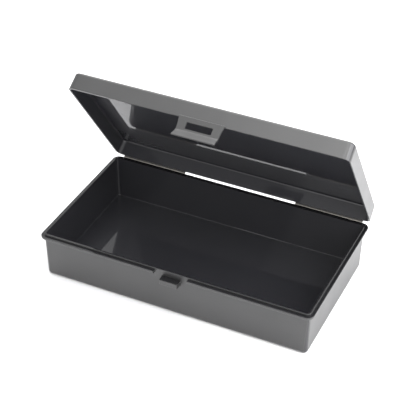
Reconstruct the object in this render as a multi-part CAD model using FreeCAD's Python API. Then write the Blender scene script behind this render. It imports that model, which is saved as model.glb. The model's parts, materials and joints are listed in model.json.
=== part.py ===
"""Hinged plastic storage box: a deep base tray, a shallow lid on two living-hinge strips,
and a slotted clasp that snaps over a catch on the front wall.

Frame: millimetres, +Z up, origin on the table under the middle of the base.
X runs along the long side, -Y is the front (clasp side) and +Y is the hinge side.
Lid parts are drawn on the closed box and then swung open to the pose they are shown in.
"""
import FreeCAD, Part

import math
import os

from FreeCAD import Vector

# Overall size
LENGTH = 180.0                # outer length of the rims, along X
DEPTH = 100.0                 # outer depth of the rims, along Y
RIM_CORNER_R = 4.5            # plan radius of the ledge and lid corners
LID_OPEN_DEG = 55.0           # how far the lid stands open, from closed

# Base tray
LEDGE_TOP_Z = 30.0            # the lid's rim closes onto this ledge
LEDGE_THICK = 1.8
LEDGE_TOP_ROUND = 0.3
LEDGE_BOTTOM_ROUND = 0.7
LIP_HEIGHT = 1.2              # the walls rise past the ledge as a lip inside the closed lid
LIP_EDGE_ROUND = 0.3
WALL_INSET = 2.1              # outer wall face behind the ledge's edge, at the lip
BACK_WALL_SETBACK = 1.3       # the hinge side's wall stands this much further in
WALL_DRAFT = 0.5              # extra inset at the bottom of the wall
WALL_THICK = 1.1
WALL_CORNER_R = 2.5
FOOT_ROUND = 2.2              # outer radius along the bottom edge
FLOOR_THICK = 1.6
CAVITY_CORNER_R = 1.4
CAVITY_FLOOR_ROUND = 0.5
LEDGE_GAP_HALF = 11.0         # break in the ledge around the catch

# Catch
CATCH_HALF_ROOT = 6.3         # half width at the wall
CATCH_HALF_TIP = 5.7
CATCH_TOP_Z = 27.2
CATCH_BOTTOM_Z = 23.9
CATCH_TIP_Y = -52.4
CATCH_ROUND = 0.3

# Lid, on the closed box
PARTING_GAP = 0.25
LID_HEIGHT = 11.4
LID_DRAFT = 0.35
LID_TOP_CORNER_R = 4.3
LID_TOP_ROUND = 1.7
LID_RIM_ROUND = 0.25
LID_WALL = 1.3
LID_CEILING = 1.6
LID_CAVITY_DRAFT = 0.3
LID_CAVITY_CORNER_R = 2.8
LID_CAVITY_ROUND = 1.0

# Living hinge at the back: the axis lies behind and below the ledge's rear edge
HINGE_BEHIND = 0.75
HINGE_BELOW = 0.8
STRIP_THICK = 0.5
STRIP_INNER_X = 39.0          # each strip runs from here
STRIP_OUTER_X = 84.6          # to here, so the middle of the back stays open
STRIP_ARM_Z = 0.75            # middle of the lid half's arm, above the ledge
FOLD_CLEARANCE = 0.1          # between the two halves of a strip at the fold

# Clasp, hanging straight down from the closed lid
CLASP_HALF_TOP = 14.6
CLASP_HALF_WAIST = 13.5
CLASP_HALF_LIP = 13.9
CLASP_THICK = 1.0
CLASP_STAND_OFF = 0.3         # behind the plate, in front of the ledge
CLASP_AXIS_Z = 30.55
CLASP_WAIST_Z = 21.7          # the plate bends outwards into the thumb lip here
CLASP_LIP_DROP = 4.4
CLASP_LIP_REACH = 3.3
CLASP_BEND_R = 2.0
CLASP_RIB_PROUD = 0.2         # rib on the lid's front face that the clasp hangs from
CLASP_RIB_HEIGHT = 0.6
SLOT_HALF_WIDTH = 8.3
SLOT_TOP_Z = 27.6
SLOT_BOTTOM_Z = 23.3
SLOT_CORNER_R = 0.5

FRONT_Y = -DEPTH / 2
BACK_Y = DEPTH / 2
END_X = LENGTH / 2
LIP_TOP_Z = LEDGE_TOP_Z + LIP_HEIGHT
LID_RIM_Z = LEDGE_TOP_Z + PARTING_GAP
LID_TOP_Z = LID_RIM_Z + LID_HEIGHT
HINGE_AXIS = Vector(0, BACK_Y + HINGE_BEHIND, LEDGE_TOP_Z - HINGE_BELOW)
CLASP_AXIS = Vector(0, FRONT_Y - CLASP_STAND_OFF - CLASP_THICK / 2, CLASP_AXIS_Z)
OPENING = Vector(-1, 0, 0)    # a positive turn about this opens the lid and swings the clasp out
OVERLAP = 1.0                 # how far cutting shapes run past what they cut
CUT = 60.0                    # larger than anything that is cut away outside the box
TOLERANCE = 0.01              # for finding edges by where they lie


def arc_edge(start, middle, end):
    return Part.Arc(start, middle, end).toShape()


def rounded_outline(side, front, back, radius, z):
    """Closed rounded rectangle at height z, inset from the rim's outline on each side."""
    x = END_X - side - radius
    y0 = FRONT_Y + front + radius
    y1 = BACK_Y - back - radius
    arcs = []
    for quarter, (centre_x, centre_y) in enumerate([(x, y0), (x, y1), (-x, y1), (-x, y0)]):
        centre = Vector(centre_x, centre_y, z)
        turns = [math.radians(90 * quarter + degrees) for degrees in (-90, -45, 0)]
        arcs.append([centre + Vector(math.cos(turn), math.sin(turn), 0) * radius for turn in turns])
    edges = []
    for arc, following in zip(arcs, arcs[1:] + arcs[:1]):
        edges += [arc_edge(*arc), Part.makeLine(arc[-1], following[0])]
    return Part.Wire(edges)


def drafted_block(low, high):
    """Solid between two rounded outlines."""
    return Part.makeLoft([low, high], True, True)


def edges_at(shape, z):
    """The edges of shape that lie flat at height z."""
    flat = [edge for edge in shape.Edges if edge.BoundBox.ZLength < TOLERANCE]
    return [edge for edge in flat if abs(edge.BoundBox.ZMin - z) < TOLERANCE]


def prism(corners, run):
    """Solid with the outline through corners, extruded along run."""
    return Part.Face(Part.makePolygon(corners + corners[:1])).extrude(run)


def box_between(x0, x1, y0, y1, z0, z1):
    return Part.makeBox(x1 - x0, y1 - y0, z1 - z0, Vector(x0, y0, z0))


def swing_open(shape):
    """Swings a lid part from the closed box to the pose it is shown in."""
    shape = shape.copy()
    shape.rotate(HINGE_AXIS, OPENING, LID_OPEN_DEG)
    return shape


def tray_walls():
    """Drafted block with rounded foot that rises past the ledge to the lip's top."""
    foot = WALL_INSET + WALL_DRAFT
    body = drafted_block(
        rounded_outline(foot, foot, foot + BACK_WALL_SETBACK, WALL_CORNER_R, 0),
        rounded_outline(WALL_INSET, WALL_INSET, WALL_INSET + BACK_WALL_SETBACK, WALL_CORNER_R, LIP_TOP_Z),
    )
    body = body.makeFillet(FOOT_ROUND, edges_at(body, 0))
    return body.makeFillet(LIP_EDGE_ROUND, edges_at(body, LIP_TOP_Z))


def tray_ledge():
    """Flat ledge all round, broken at the front around the catch."""
    bottom_z = LEDGE_TOP_Z - LEDGE_THICK
    outline = rounded_outline(0, 0, 0, RIM_CORNER_R, bottom_z)
    ledge = Part.Face(outline).extrude(Vector(0, 0, LEDGE_THICK))
    ledge = ledge.makeFillet(LEDGE_TOP_ROUND, edges_at(ledge, LEDGE_TOP_Z))
    ledge = ledge.makeFillet(LEDGE_BOTTOM_ROUND, edges_at(ledge, bottom_z))
    gap = box_between(
        -LEDGE_GAP_HALF,
        LEDGE_GAP_HALF,
        FRONT_Y - OVERLAP,
        FRONT_Y + WALL_INSET + WALL_THICK / 2,
        bottom_z - OVERLAP,
        LEDGE_TOP_Z + OVERLAP,
    )
    return ledge.cut(gap)


def tray_cavity():
    """Space inside the tray, from the floor to above the lip."""
    top = WALL_INSET + WALL_THICK
    low = top + WALL_DRAFT
    cavity = drafted_block(
        rounded_outline(low, low, low + BACK_WALL_SETBACK, CAVITY_CORNER_R, FLOOR_THICK),
        rounded_outline(top, top, top + BACK_WALL_SETBACK, CAVITY_CORNER_R, LIP_TOP_Z + OVERLAP),
    )
    return cavity.makeFillet(CAVITY_FLOOR_ROUND, edges_at(cavity, FLOOR_THICK))


def base_tray():
    """The deep half of the box: floor, walls with their lip, and ledge in one moulding."""
    return tray_walls().fuse(tray_ledge()).cut(tray_cavity()).removeSplitter()


def catch_lug(tray):
    """Flat-topped block on the front wall that goes through the clasp's slot."""
    wall_y = FRONT_Y + WALL_INSET + OVERLAP
    corners = [
        Vector(-CATCH_HALF_ROOT, wall_y, CATCH_BOTTOM_Z),
        Vector(-CATCH_HALF_TIP, CATCH_TIP_Y, CATCH_BOTTOM_Z),
        Vector(CATCH_HALF_TIP, CATCH_TIP_Y, CATCH_BOTTOM_Z),
        Vector(CATCH_HALF_ROOT, wall_y, CATCH_BOTTOM_Z),
    ]
    lug = prism(corners, Vector(0, 0, CATCH_TOP_Z - CATCH_BOTTOM_Z))
    tip_edges = [edge for edge in lug.Edges if edge.BoundBox.YMax < CATCH_TIP_Y + TOLERANCE]
    return lug.makeFillet(CATCH_ROUND, tip_edges).cut(tray)


def lid_shell():
    """The shallow half: four short walls and a flat top, open underneath."""
    top_side = LID_DRAFT
    body = drafted_block(
        rounded_outline(0, 0, 0, RIM_CORNER_R, LID_RIM_Z),
        rounded_outline(top_side, top_side, top_side, LID_TOP_CORNER_R, LID_TOP_Z),
    )
    body = body.makeFillet(LID_TOP_ROUND, edges_at(body, LID_TOP_Z))
    body = body.makeFillet(LID_RIM_ROUND, edges_at(body, LID_RIM_Z))
    inner = LID_WALL + LID_CAVITY_DRAFT
    ceiling_z = LID_TOP_Z - LID_CEILING
    cavity = drafted_block(
        rounded_outline(LID_WALL, LID_WALL, LID_WALL, LID_CAVITY_CORNER_R, LID_RIM_Z),
        rounded_outline(inner, inner, inner, LID_CAVITY_CORNER_R, ceiling_z),
    )
    cavity = cavity.makeFillet(LID_CAVITY_ROUND, edges_at(cavity, ceiling_z))
    rib = box_between(
        -CLASP_HALF_TOP,
        CLASP_HALF_TOP,
        FRONT_Y - CLASP_RIB_PROUD,
        FRONT_Y + LID_WALL / 2,
        LID_RIM_Z,
        LID_RIM_Z + CLASP_RIB_HEIGHT,
    )
    return swing_open(body.cut(cavity).fuse(rib).removeSplitter())


def clasp_side_profile():
    """Solid with the clasp's side view: round top, plate, bend and outward thumb lip."""
    half = CLASP_THICK / 2
    mid_y = CLASP_AXIS.y
    tilt = math.atan2(CLASP_LIP_REACH, CLASP_LIP_DROP)
    setback = CLASP_BEND_R * math.tan(tilt / 2)
    bend = Vector(0, mid_y, CLASP_WAIST_Z)
    down = Vector(0, 0, -1)
    out = Vector(0, -math.sin(tilt), -math.cos(tilt))
    bend_start = bend - down * setback
    bend_end = bend + out * setback
    centre = bend_start + Vector(0, -CLASP_BEND_R, 0)
    bend_middle = centre + Vector(0, math.cos(tilt / 2), -math.sin(tilt / 2)) * CLASP_BEND_R
    lip_end = bend + out * math.hypot(CLASP_LIP_DROP, CLASP_LIP_REACH)
    top = CLASP_AXIS
    spine = [
        (top, None, bend_start, Vector(0, 1, 0)),
        (bend_start, bend_middle, bend_end, None),
        (bend_end, None, lip_end, Vector(0, math.cos(tilt), -math.sin(tilt))),
    ]
    inner = []
    outer = []
    for start, middle, end, normal in spine:
        if middle is None:
            inner.append(Part.makeLine(start + normal * half, end + normal * half))
            outer.append(Part.makeLine(end - normal * half, start - normal * half))
        else:
            for side, edges in ((half, inner), (-half, outer)):
                points = [p + (p - centre).normalize() * side for p in (start, middle, end)]
                edges.append(arc_edge(*points))
    lip_normal = spine[-1][3]
    across = Vector(0, half, 0)
    tip = arc_edge(lip_end + lip_normal * half, lip_end + out * half, lip_end - lip_normal * half)
    crown = arc_edge(top - across, top - down * half, top + across)
    wire = Part.Wire(inner + [tip] + outer[::-1] + [crown])
    wire.translate(Vector(-CLASP_HALF_TOP, 0, 0))
    return Part.Face(wire).extrude(Vector(2 * CLASP_HALF_TOP, 0, 0))


def clasp_front_outline():
    """Block with the clasp's front view: waisted sides and square thumb lip."""
    y = FRONT_Y - CUT / 2
    top_z = CLASP_AXIS_Z + OVERLAP
    low_z = CLASP_WAIST_Z - CLASP_LIP_DROP - OVERLAP
    sides = []
    for sign in (-1, 1):
        root = Vector(sign * CLASP_HALF_TOP, y, CLASP_AXIS_Z)
        waist = Vector(sign * CLASP_HALF_WAIST, y, CLASP_WAIST_Z + OVERLAP)
        lip = Vector(sign * CLASP_HALF_LIP, y, low_z)
        head = Vector(sign * CLASP_HALF_TOP, y, top_z)
        sides.append((head, root, waist, lip))
    edges = []
    for head, root, waist, lip in sides:
        edges += [Part.makeLine(head, root), arc_edge(root, waist, lip)]
    (left_head, _, _, left_lip), (right_head, _, _, right_lip) = sides
    edges += [Part.makeLine(left_head, right_head), Part.makeLine(left_lip, right_lip)]
    outline = Part.Wire(Part.__sortEdges__(edges))
    return Part.Face(outline).extrude(Vector(0, CUT, 0))


def latch_clasp():
    """Slotted plate with a thumb lip, hung from the lid's front rim."""
    clasp = clasp_side_profile().common(clasp_front_outline())
    slot = box_between(
        -SLOT_HALF_WIDTH,
        SLOT_HALF_WIDTH,
        FRONT_Y - CUT / 2,
        FRONT_Y + OVERLAP,
        SLOT_BOTTOM_Z,
        SLOT_TOP_Z,
    )
    corners = [edge for edge in slot.Edges if edge.BoundBox.YLength > OVERLAP]
    clasp = clasp.cut(slot.makeFillet(SLOT_CORNER_R, corners))
    return swing_open(clasp)


def strip_base_half(x0, x1, tray):
    """Half of a hinge strip that stays with the tray: a thin tongue ending at the fold."""
    half = STRIP_THICK / 2
    y = HINGE_AXIS.y
    z = HINGE_AXIS.z
    tongue = box_between(x0, x1, BACK_Y - LEDGE_BOTTOM_ROUND, y, z - half, z + half)
    bead = Part.makeCylinder(half, x1 - x0, Vector(x0, y, z), Vector(1, 0, 0))
    return tongue.fuse(bead).removeSplitter().cut(tray)


def strip_lid_half(x0, x1, lid):
    """Half of a hinge strip that moves with the lid: an arm from the rim, turned down to the fold."""
    half = STRIP_THICK / 2
    arm_z = LEDGE_TOP_Z + STRIP_ARM_Z
    fold_z = HINGE_AXIS.z + half + FOLD_CLEARANCE
    corners = [
        Vector(x0, BACK_Y - LID_DRAFT, arm_z - half),
        Vector(x0, HINGE_AXIS.y - half, arm_z - half),
        Vector(x0, HINGE_AXIS.y - half, fold_z),
        Vector(x0, HINGE_AXIS.y + half, fold_z),
        Vector(x0, HINGE_AXIS.y + half, arm_z + half),
        Vector(x0, BACK_Y - LID_DRAFT, arm_z + half),
    ]
    arm = prism(corners, Vector(x1 - x0, 0, 0))
    along = [edge for edge in arm.Edges if edge.BoundBox.XLength > STRIP_THICK]
    behind = [edge for edge in along if edge.BoundBox.YMin > HINGE_AXIS.y]
    outer_bend = [edge for edge in behind if edge.BoundBox.ZMin > arm_z]
    return swing_open(arm.makeFillet(STRIP_THICK, outer_bend)).cut(lid)


def main():
    os.makedirs("parts", exist_ok=True)
    tray = base_tray()
    lid = lid_shell()
    nodes = {
        "base_tray": tray,
        "catch_lug": catch_lug(tray),
        "lid_shell": lid,
        "latch_clasp": latch_clasp(),
    }
    for name, x0, x1 in (
        ("left", -STRIP_OUTER_X, -STRIP_INNER_X),
        ("right", STRIP_INNER_X, STRIP_OUTER_X),
    ):
        nodes["hinge_strip_" + name + "_base_half"] = strip_base_half(x0, x1, tray)
        nodes["hinge_strip_" + name + "_lid_half"] = strip_lid_half(x0, x1, lid)
    for name, shape in nodes.items():
        shape.exportStep("parts/" + name + ".step")
        print(f"{name:28s} solids {len(shape.Solids)}  valid {shape.isValid()}  {shape.Volume:8.1f} mm3")


main()
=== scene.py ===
import json
import math

import bmesh
import bpy
from mathutils import Matrix, Vector


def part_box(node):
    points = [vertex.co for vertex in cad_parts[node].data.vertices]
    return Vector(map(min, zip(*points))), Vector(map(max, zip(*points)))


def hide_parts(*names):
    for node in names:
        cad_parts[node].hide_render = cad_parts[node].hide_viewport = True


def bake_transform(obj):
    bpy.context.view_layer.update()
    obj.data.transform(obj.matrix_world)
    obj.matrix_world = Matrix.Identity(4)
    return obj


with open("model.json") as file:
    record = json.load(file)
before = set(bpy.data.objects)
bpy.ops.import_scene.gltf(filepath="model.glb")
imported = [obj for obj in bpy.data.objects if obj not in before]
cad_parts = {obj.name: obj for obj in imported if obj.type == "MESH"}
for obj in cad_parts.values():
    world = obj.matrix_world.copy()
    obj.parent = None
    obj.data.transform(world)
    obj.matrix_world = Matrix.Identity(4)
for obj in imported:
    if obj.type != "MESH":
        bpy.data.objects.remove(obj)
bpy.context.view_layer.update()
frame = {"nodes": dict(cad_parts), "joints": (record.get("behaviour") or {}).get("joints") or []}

MM = 0.001
JOINTS = {joint["name"]: joint for joint in frame["joints"]}
HINGE_AXIS = Vector(JOINTS["lid_hinge"]["pos_m"])
LID_OPEN = math.radians(-JOINTS["lid_hinge"]["range_deg"][0])
TRAY_LOW, TRAY_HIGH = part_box("base_tray")

# Heights on the closed box
LEDGE_TOP = TRAY_HIGH.z - 1.2 * MM
LEDGE_BOTTOM = LEDGE_TOP - 1.8 * MM
LID_TOP = LEDGE_TOP + 11.4 * MM
LID_TOP_EDGE = LID_TOP - 0.5 * MM
BELOW_CATCH_TOP = LEDGE_TOP - 4 * MM

# Depths that lie mid-wall, for telling the moulding's inside from its outside
TRAY_WALL_SIDE = 2.7 * MM
TRAY_WALL_BACK = 4.0 * MM
TRAY_FLOOR = 0.8 * MM
LID_WALL = 0.7 * MM
LID_CEILING = 0.8 * MM

# Hinge webs
WEB_INNER_X = 39.0 * MM
WEB_OUTER_X = 84.6 * MM
WEB_THICK = 0.5 * MM
WEB_FOLD_THICK = 0.34 * MM
WEB_THINNED = 0.9 * MM      # how far the thinning reaches from the fold
WEB_TONGUE = 1.15 * MM      # from the tray's rear edge to the fold
WEB_ARM = 1.55 * MM         # from the fold to the bend behind the lid's rim
WEB_TURN = 1.15 * MM        # from the bend into the lid's rear wall
WEB_BEND_R = 0.5 * MM
WEB_END_EASE = 0.12 * MM
WEB_END_FULLNESS = 0.5
WEB_TONGUE_STEPS = 8
WEB_ARM_STEPS = 6
WEB_BEND_STEPS = 6
SHARP_ANGLE = math.radians(40)

# Plastic
PLASTIC_IOR = 1.5
OUTER_DARK = (0.010, 0.010, 0.0105, 1)
OUTER_LIGHT = (0.017, 0.017, 0.0175, 1)
RUBBED = (0.06, 0.06, 0.06, 1)
# Painted shade: the flat tops of ledge, lip and catch get this darker colour, standing in for the
# dark lid interior they mirror.
SHADED_TOP_COLOUR = (0.008, 0.008, 0.009, 1)
WEB_DARK = (0.03, 0.03, 0.03, 1)
WEB_LIGHT = (0.05, 0.049, 0.047, 1)
# Painted highlight mixed with real stress whitening: the web is coloured pale along the fold both
# for its whitening and for the light that falls there.
WHITENED_AND_LIT_DARK = (0.30, 0.28, 0.25, 1)
WHITENED_AND_LIT_LIGHT = (0.46, 0.43, 0.39, 1)
FLOOR_COLOUR = (0.83, 0.83, 0.84, 1)
SATIN_ROUGHNESS = (0.42, 0.5)
GLOSS_ROUGHNESS = (0.03, 0.05)
SCUFF_ROUGHNESS = 0.03
WEB_ROUGHNESS = (0.38, 0.55)
COAT_ROUGHNESS = 0.42
HAZE = 0.35
CLEAR_HAZE = 0.1
NOISE_SPAN = (0.3, 0.7)     # where most values of a noise lie

# Texture of the plastic, with noise scales in cells to the metre
MOTTLE_SCALE = 45.0
COAT_SCALE = 26.0
GRAIN_SCALE = 2600.0
GRAIN_SHARE = 0.1
SINK_SCALE = 55.0
SURFACE_STRENGTH = 0.25
SURFACE_DEPTH = 0.04 * MM
SCUFF_SCALE = 900.0
SCUFF_STRETCH = (1.0, 0.12, 0.4)
SCUFF_CUT = (0.62, 0.74)
UPWARD_CUT = (0.3, 0.6)

# Rubbed edges
RUB_SCALE = 180.0
RUB_CUT = (0.5, 0.66)
RUB_FADE = (0.2 * MM, 0.6 * MM)
RUB_SOLID_SHARE = 0.3
LEDGE_RUB_REACH = 0.5 * MM
LID_RUB_REACH = 1.0 * MM

# Texture of the webs
WEB_MOTTLE_SCALE = 300.0
WEB_MOTTLE_STRETCH = (1.0, 4.0, 4.0)
WEB_SURFACE_STRENGTH = 0.3
WEB_SURFACE_DEPTH = 0.05 * MM
# How far the fold's pale band reaches and how ragged it is; the band is stress whitening and
# painted highlight together.
WHITENED_AND_LIT_FADE = (0.55 * MM, 1.05 * MM)
WHITENED_AND_LIT_RAGGED = 0.5 * MM

# Studio
FLOOR_REACH = 4.0
FLOOR_DROP = 0.2 * MM
SOFTBOXES = (
    # name, place, aim, size in metres, watts
    ("back_softbox", (-0.1, 0.5, 1.0), (0, 0.05, 0), (1.2, 0.8), 11.5),
    ("right_softbox", (0.55, 0.12, 0.42), (0.05, 0, 0.03), (0.5, 0.5), 3.5),
    ("front_softbox", (0.15, -0.9, 0.8), (0, -0.05, 0), (1.0, 0.6), 2.2),
    ("near_softbox", (0.36, -0.2, 0.34), (0.05, 0, 0.02), (0.4, 0.4), 1.5),
    ("overhead_softbox", (0.08, -0.16, 0.6), (0.05, -0.02, 0.1), (0.3, 0.3), 1.3),
)

# Camera
CAMERA_AZIMUTH = math.radians(24.85)
CAMERA_ELEVATION = math.radians(37.47)
CAMERA_ROLL = math.radians(0.57)
CAMERA_DISTANCE = 0.776
CAMERA_TARGET = Vector((0, 0, 0.025))
SENSOR_WIDTH_MM = 36.0
FOCAL_LENGTH_MM = 108.03
LENS_SHIFT = (0.0058, 0.0693)


def new_material(name):
    """An empty node material, as the material and its one shader."""
    material = bpy.data.materials.new(name)
    material.use_nodes = True
    nodes = material.node_tree.nodes
    nodes.clear()
    output = nodes.new("ShaderNodeOutputMaterial")
    shader = nodes.new("ShaderNodeBsdfPrincipled")
    material.node_tree.links.new(shader.outputs["BSDF"], output.inputs["Surface"])
    return material, shader


class Nodes:
    """Short calls for building one material's node tree."""

    def __init__(self, material):
        self.tree = material.node_tree

    def add(self, kind, **settings):
        node = self.tree.nodes.new(kind)
        for key, value in settings.items():
            setattr(node, key, value)
        return node

    def feed(self, socket, value):
        if isinstance(value, bpy.types.NodeSocket):
            self.tree.links.new(value, socket)
        else:
            socket.default_value = value

    def math(self, operation, a, b=0.0):
        node = self.add("ShaderNodeMath", operation=operation)
        self.feed(node.inputs[0], a)
        self.feed(node.inputs[1], b)
        return node.outputs[0]

    def blend(self, factor, a, b):
        node = self.add("ShaderNodeMix", data_type="FLOAT")
        self.feed(node.inputs["Factor"], factor)
        self.feed(node.inputs[2], a)
        self.feed(node.inputs[3], b)
        return node.outputs[0]

    def blend_colour(self, factor, a, b):
        node = self.add("ShaderNodeMix", data_type="RGBA")
        self.feed(node.inputs["Factor"], factor)
        self.feed(node.inputs[6], a)
        self.feed(node.inputs[7], b)
        return node.outputs[2]

    def ramp(self, value, low, high, out_low=0.0, out_high=1.0):
        node = self.add("ShaderNodeMapRange", clamp=True)
        self.feed(node.inputs["Value"], value)
        self.feed(node.inputs["From Min"], low)
        self.feed(node.inputs["From Max"], high)
        self.feed(node.inputs["To Min"], out_low)
        self.feed(node.inputs["To Max"], out_high)
        return node.outputs["Result"]

    def noise(self, vector, scale, detail=2.0, roughness=0.5):
        node = self.add("ShaderNodeTexNoise", noise_dimensions="3D")
        self.feed(node.inputs["Vector"], vector)
        self.feed(node.inputs["Scale"], scale)
        self.feed(node.inputs["Detail"], detail)
        self.feed(node.inputs["Roughness"], roughness)
        return node.outputs["Fac"]

    def stretched(self, vector, factors):
        node = self.add("ShaderNodeVectorMath", operation="MULTIPLY")
        self.feed(node.inputs[0], vector)
        self.feed(node.inputs[1], factors)
        return node.outputs[0]

    def bump(self, height, strength, distance):
        node = self.add("ShaderNodeBump")
        self.feed(node.inputs["Height"], height)
        self.feed(node.inputs["Strength"], strength)
        self.feed(node.inputs["Distance"], distance)
        return node.outputs["Normal"]

    def place(self):
        """Where the point lies on the piece, in the row frame at rest."""
        return self.add("ShaderNodeTexCoord").outputs["Object"]

    def upward(self):
        """How far the piece's own surface faces up at rest, from -1 to 1."""
        return self.split(self.add("ShaderNodeTexCoord").outputs["Normal"])[2]

    def split(self, vector):
        node = self.add("ShaderNodeSeparateXYZ")
        self.feed(node.inputs[0], vector)
        return node.outputs


def flat_top(n, place):
    """1 on the flat tops of ledge, lip and catch."""
    high_up = n.math("GREATER_THAN", n.split(place)[2], BELOW_CATCH_TOP)
    return n.math("MULTIPLY", n.ramp(n.upward(), *UPWARD_CUT), high_up)


def tray_polish(n, place):
    """1 on the tray's inner faces and on the flat tops of ledge and lip, 0 on its outer faces."""
    x, y, z = n.split(place)
    across = n.math("ADD", n.math("ABSOLUTE", x), TRAY_WALL_SIDE - TRAY_HIGH.x)
    front = n.math("SUBTRACT", TRAY_LOW.y + TRAY_WALL_SIDE, y)
    back = n.math("ADD", y, TRAY_WALL_BACK - TRAY_HIGH.y)
    below = n.math("SUBTRACT", TRAY_FLOOR, z)
    outside = n.math("MAXIMUM", n.math("MAXIMUM", across, front), n.math("MAXIMUM", back, below))
    return n.math("MAXIMUM", n.math("LESS_THAN", outside, 0.0), flat_top(n, place))


def closed_place(n, place):
    """A lid point's place on the closed box."""
    about = n.add("ShaderNodeVectorRotate", rotation_type="X_AXIS")
    n.feed(about.inputs["Vector"], place)
    n.feed(about.inputs["Center"], HINGE_AXIS)
    n.feed(about.inputs["Angle"], LID_OPEN)
    return about.outputs[0]


def lid_polish(n, place):
    """1 on the lid's inner faces, 0 on its outer ones."""
    x, y, z = n.split(closed_place(n, place))
    across = n.math("ADD", n.math("ABSOLUTE", x), LID_WALL - TRAY_HIGH.x)
    along = n.math("ADD", n.math("ABSOLUTE", y), LID_WALL + TRAY_LOW.y)
    above = n.math("SUBTRACT", z, LID_TOP - LID_CEILING)
    outside = n.math("MAXIMUM", n.math("MAXIMUM", across, along), above)
    return n.math("LESS_THAN", outside, 0.0)


def rubbed(n, spot, reach, heights):
    """Patches of rubbing where the box's outline, within reach, meets one of the heights."""
    x, y, z = n.split(spot)
    from_side = n.math("SUBTRACT", TRAY_HIGH.x, n.math("ABSOLUTE", x))
    from_long_side = n.math("SUBTRACT", TRAY_HIGH.y, n.math("ABSOLUTE", y))
    from_outline = n.math("MINIMUM", from_side, from_long_side)
    outline = n.ramp(from_outline, RUB_SOLID_SHARE * reach, reach, 1.0, 0.0)
    away = [n.math("ABSOLUTE", n.math("SUBTRACT", z, height)) for height in heights]
    level = n.ramp(n.math("MINIMUM", *away), *RUB_FADE, 1.0, 0.0)
    patches = n.ramp(n.noise(spot, RUB_SCALE, 3.0, 0.6), *RUB_CUT)
    return n.math("MULTIPLY", n.math("MULTIPLY", outline, level), patches)


def ledge_wear(n, place):
    """Rubbing along the ledge's two outer edges."""
    return rubbed(n, place, LEDGE_RUB_REACH, (LEDGE_TOP, LEDGE_BOTTOM))


def lid_wear(n, place):
    """Rubbing along the lid's rim and its top edge."""
    return rubbed(n, closed_place(n, place), LID_RUB_REACH, (LEDGE_TOP, LID_TOP_EDGE))


def nowhere(n, place):
    """0 all over the piece."""
    return 0.0


def black_plastic(piece, polish, tops, worn, coat, grey):
    """Black polypropylene.

    It is polished and this grey where polish gives 1, and satin with this range of coat elsewhere.
    Its haze is clear where tops gives 1, and its colour is darkened there as painted shade; its
    satin is rubbed pale where worn gives 1.
    """
    material, shader = new_material("black_plastic_" + piece)
    n = Nodes(material)
    place = n.place()
    polished = polish(n, place)
    clear = tops(n, place)
    satin = n.math("SUBTRACT", 1.0, polished)
    wear = n.math("MULTIPLY", worn(n, place), satin)
    mottle = n.noise(place, MOTTLE_SCALE, 3.0)

    outer = n.blend_colour(mottle, OUTER_DARK, OUTER_LIGHT)
    outer = n.blend_colour(wear, outer, RUBBED)
    inner_dark = (0.9 * grey, 0.9 * grey, 1.05 * grey, 1)
    inner_light = (1.1 * grey, 1.1 * grey, 1.27 * grey, 1)
    inner = n.blend_colour(mottle, inner_dark, inner_light)
    # Painted shade: the flat tops are coloured darker than the other polished faces.
    inner = n.blend_colour(clear, inner, SHADED_TOP_COLOUR)
    n.feed(shader.inputs["Base Color"], n.blend_colour(polished, outer, inner))

    drawn_out = n.stretched(place, SCUFF_STRETCH)
    scuffs = n.ramp(n.noise(drawn_out, SCUFF_SCALE, 3.0, 0.6), *SCUFF_CUT)
    satin_rough = n.ramp(mottle, *NOISE_SPAN, *SATIN_ROUGHNESS)
    gloss_rough = n.ramp(mottle, *NOISE_SPAN, *GLOSS_ROUGHNESS)
    gloss_rough = n.math("ADD", gloss_rough, n.math("MULTIPLY", scuffs, SCUFF_ROUGHNESS))
    n.feed(shader.inputs["Roughness"], n.blend(polished, satin_rough, gloss_rough))

    satin_coat = n.ramp(n.noise(place, COAT_SCALE, 2.0), *NOISE_SPAN, *coat)
    haze = n.blend(clear, HAZE, CLEAR_HAZE)
    n.feed(shader.inputs["Coat Weight"], n.blend(polished, satin_coat, haze))

    grain = n.noise(place, GRAIN_SCALE, 2.0)
    sink = n.noise(place, SINK_SCALE, 1.0)
    fine = n.math("MULTIPLY", n.math("MULTIPLY", grain, satin), GRAIN_SHARE)
    surface = n.bump(n.math("ADD", fine, sink), SURFACE_STRENGTH, SURFACE_DEPTH)
    n.feed(shader.inputs["Normal"], surface)

    shader.inputs["IOR"].default_value = PLASTIC_IOR
    shader.inputs["Coat IOR"].default_value = PLASTIC_IOR
    shader.inputs["Coat Roughness"].default_value = COAT_ROUGHNESS
    return material


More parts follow.
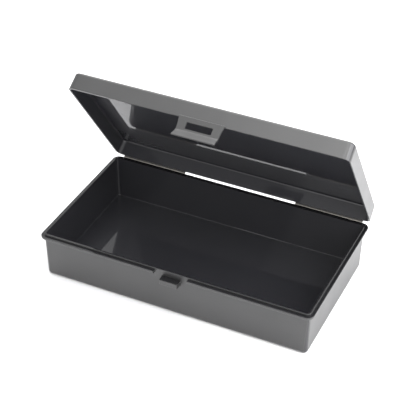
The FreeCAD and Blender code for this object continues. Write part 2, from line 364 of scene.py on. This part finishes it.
def web_plastic():
    """The same plastic thinned to a web, whitened by bending along the fold, with a painted
    highlight on the fold as well.
    """
    material, shader = new_material("hinge_web_plastic")
    n = Nodes(material)
    place = n.place()
    split = n.split(place)
    off_y = n.math("SUBTRACT", split[1], HINGE_AXIS.y)
    off_z = n.math("SUBTRACT", split[2], HINGE_AXIS.z)
    squares = n.math("ADD", n.math("MULTIPLY", off_y, off_y), n.math("MULTIPLY", off_z, off_z))
    from_fold = n.math("SQRT", squares)
    mottle = n.noise(n.stretched(place, WEB_MOTTLE_STRETCH), WEB_MOTTLE_SCALE, 3.0, 0.6)
    ragged = n.math("ADD", from_fold, n.math("MULTIPLY", mottle, WHITENED_AND_LIT_RAGGED))
    # Pale band along the fold: stress whitening and a painted highlight together.
    whitened_and_lit = n.ramp(ragged, *WHITENED_AND_LIT_FADE, 1.0, 0.0)
    unbent = n.blend_colour(mottle, WEB_DARK, WEB_LIGHT)
    white = n.blend_colour(mottle, WHITENED_AND_LIT_DARK, WHITENED_AND_LIT_LIGHT)
    n.feed(shader.inputs["Base Color"], n.blend_colour(whitened_and_lit, unbent, white))
    n.feed(shader.inputs["Roughness"], n.ramp(mottle, *NOISE_SPAN, *WEB_ROUGHNESS))
    surface = n.bump(mottle, WEB_SURFACE_STRENGTH, WEB_SURFACE_DEPTH)
    n.feed(shader.inputs["Normal"], surface)
    shader.inputs["IOR"].default_value = PLASTIC_IOR
    return material


def web_spine():
    """The web's middle line from the tray's rear edge to the lid's rear wall, as (y, z) points."""
    fold = HINGE_AXIS.yz
    back = Vector((1.0, 0.0))
    out = Vector((math.sin(LID_OPEN), math.cos(LID_OPEN)))
    up = Vector((-out.y, out.x))
    bend = fold + out * WEB_ARM
    line = []
    for step in range(WEB_TONGUE_STEPS):
        line.append(fold - back * WEB_TONGUE * (1 - step / WEB_TONGUE_STEPS))
    for step in range(WEB_ARM_STEPS + 1):
        line.append(fold + out * (WEB_ARM - WEB_BEND_R) * step / WEB_ARM_STEPS)
    for step in range(1, WEB_BEND_STEPS + 1):
        turn = math.radians(90) * step / WEB_BEND_STEPS
        short = out * WEB_BEND_R * (1 - math.sin(turn))
        risen = up * WEB_BEND_R * (1 - math.cos(turn))
        line.append(bend - short + risen)
    line.append(bend + up * WEB_TURN)
    return line


def web_half_sections(line):
    """Along the web's middle line, the step from the line to the web's upper face."""
    fold = HINGE_AXIS.yz
    steps = []
    for index, point in enumerate(line):
        before = line[max(index - 1, 0)]
        after = line[min(index + 1, len(line) - 1)]
        along = (after - before).normalized()
        away = min((point - fold).length / WEB_THINNED, 1.0)
        thick = WEB_FOLD_THICK + (WEB_THICK - WEB_FOLD_THICK) * away * away
        steps.append(Vector((-along.y, along.x)) * thick / 2)
    return steps


def web_mesh(name, x0, x1):
    """The closed mesh of one web, with its two ends thinned."""
    line = web_spine()
    halves = web_half_sections(line)
    stations = (
        (x0, WEB_END_FULLNESS),
        (x0 + WEB_END_EASE, 1.0),
        ((x0 + x1) / 2, 1.0),
        (x1 - WEB_END_EASE, 1.0),
        (x1, WEB_END_FULLNESS),
    )
    mesh = bmesh.new()
    rings = []
    for x, fullness in stations:
        upper = [point + half * fullness for point, half in zip(line, halves)]
        lower = [point - half * fullness for point, half in zip(line, halves)]
        rings.append([mesh.verts.new((x, point.x, point.y)) for point in upper + lower[::-1]])
    count = len(rings[0])
    for ring, following in zip(rings, rings[1:]):
        for index in range(count):
            ahead = (index + 1) % count
            mesh.faces.new((ring[index], ring[ahead], following[ahead], following[index]))
    for ring in (rings[0], rings[-1]):
        for index in range(len(line) - 1):
            opposite = count - 1 - index
            mesh.faces.new((ring[index], ring[index + 1], ring[opposite - 1], ring[opposite]))
    bmesh.ops.recalc_face_normals(mesh, faces=mesh.faces)
    data = bpy.data.meshes.new(name)
    mesh.to_mesh(data)
    mesh.free()
    data.shade_smooth()
    data.set_sharp_from_angle(angle=SHARP_ANGLE)
    return data


def hinge_web(name, x0, x1, material):
    """One flexing strip that bends across the fold."""
    data = web_mesh(name, x0, x1)
    data.materials.append(material)
    web = bpy.data.objects.new(name, data)
    bpy.context.scene.collection.objects.link(web)
    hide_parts(name + "_base_half", name + "_lid_half")
    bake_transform(web)


def give(node, material):
    """Make this the CAD node's only material."""
    slots = frame["nodes"][node].data.materials
    slots.clear()
    slots.append(material)


def softbox(name, place, aim, size, power):
    """A rectangular area light."""
    light = bpy.data.lights.new(name, "AREA")
    light.shape = "RECTANGLE"
    light.size, light.size_y = size
    light.energy = power
    lamp = bpy.data.objects.new(name, light)
    lamp.location = place
    lamp.rotation_mode = "QUATERNION"
    lamp.rotation_quaternion = (Vector(aim) - Vector(place)).to_track_quat("-Z", "Y")
    bpy.context.scene.collection.objects.link(lamp)


def white_surroundings():
    """An even white world."""
    world = bpy.data.worlds.new("pale_studio")
    bpy.context.scene.world = world
    world.use_nodes = True
    backdrop = world.node_tree.nodes["Background"]
    backdrop.inputs["Color"].default_value = (1, 1, 1, 1)
    backdrop.inputs["Strength"].default_value = 1.0


def pale_floor():
    """A wide, nearly white floor just under the object."""
    mesh = bpy.data.meshes.new("floor")
    signs = ((-1, -1), (1, -1), (1, 1), (-1, 1))
    corners = [(FLOOR_REACH * x, FLOOR_REACH * y, -FLOOR_DROP) for x, y in signs]
    mesh.from_pydata(corners, [], [(0, 1, 2, 3)])
    floor = bpy.data.objects.new("floor", mesh)
    bpy.context.scene.collection.objects.link(floor)
    material, shader = new_material("pale_floor")
    shader.inputs["Base Color"].default_value = FLOOR_COLOUR
    shader.inputs["Roughness"].default_value = 0.6
    mesh.materials.append(material)


def camera():
    """The viewing angle, distance and lens, in the row frame."""
    level = math.cos(CAMERA_ELEVATION)
    back = Vector(
        (
            math.sin(CAMERA_AZIMUTH) * level,
            -math.cos(CAMERA_AZIMUTH) * level,
            math.sin(CAMERA_ELEVATION),
        )
    )
    right = (-back).cross(Vector((0, 0, 1))).normalized()
    up = right.cross(-back)
    turned_right = right * math.cos(CAMERA_ROLL) + up * math.sin(CAMERA_ROLL)
    turned_up = up * math.cos(CAMERA_ROLL) - right * math.sin(CAMERA_ROLL)
    lens = bpy.data.cameras.new("camera")
    lens.sensor_width = SENSOR_WIDTH_MM
    lens.lens = FOCAL_LENGTH_MM
    lens.shift_x, lens.shift_y = LENS_SHIFT
    eye = bpy.data.objects.new("camera", lens)
    axes = Matrix((turned_right, turned_up, back)).transposed().to_4x4()
    eye.matrix_world = Matrix.Translation(CAMERA_TARGET + back * CAMERA_DISTANCE) @ axes
    bpy.context.scene.collection.objects.link(eye)
    bpy.context.scene.camera = eye


bpy.context.scene.view_settings.view_transform = "Standard"
camera()
white_surroundings()
pale_floor()
for box in SOFTBOXES:
    softbox(*box)

# Each CAD node's plastic: polish, tops, wear, range of coat, inner grey
PLASTICS = {
    "base_tray": (tray_polish, flat_top, ledge_wear, (0.62, 0.76), 0.019),
    "lid_shell": (lid_polish, nowhere, lid_wear, (0.78, 0.92), 0.026),
    "catch_lug": (flat_top, flat_top, nowhere, (0.6, 0.75), 0.0225),
    "latch_clasp": (nowhere, nowhere, nowhere, (0.55, 0.7), 0.0225),
}
for node, settings in PLASTICS.items():
    give(node, black_plastic(node, *settings))

web_material = web_plastic()
hinge_web("hinge_strip_left", -WEB_OUTER_X, -WEB_INNER_X, web_material)
hinge_web("hinge_strip_right", WEB_INNER_X, WEB_OUTER_X, web_material)
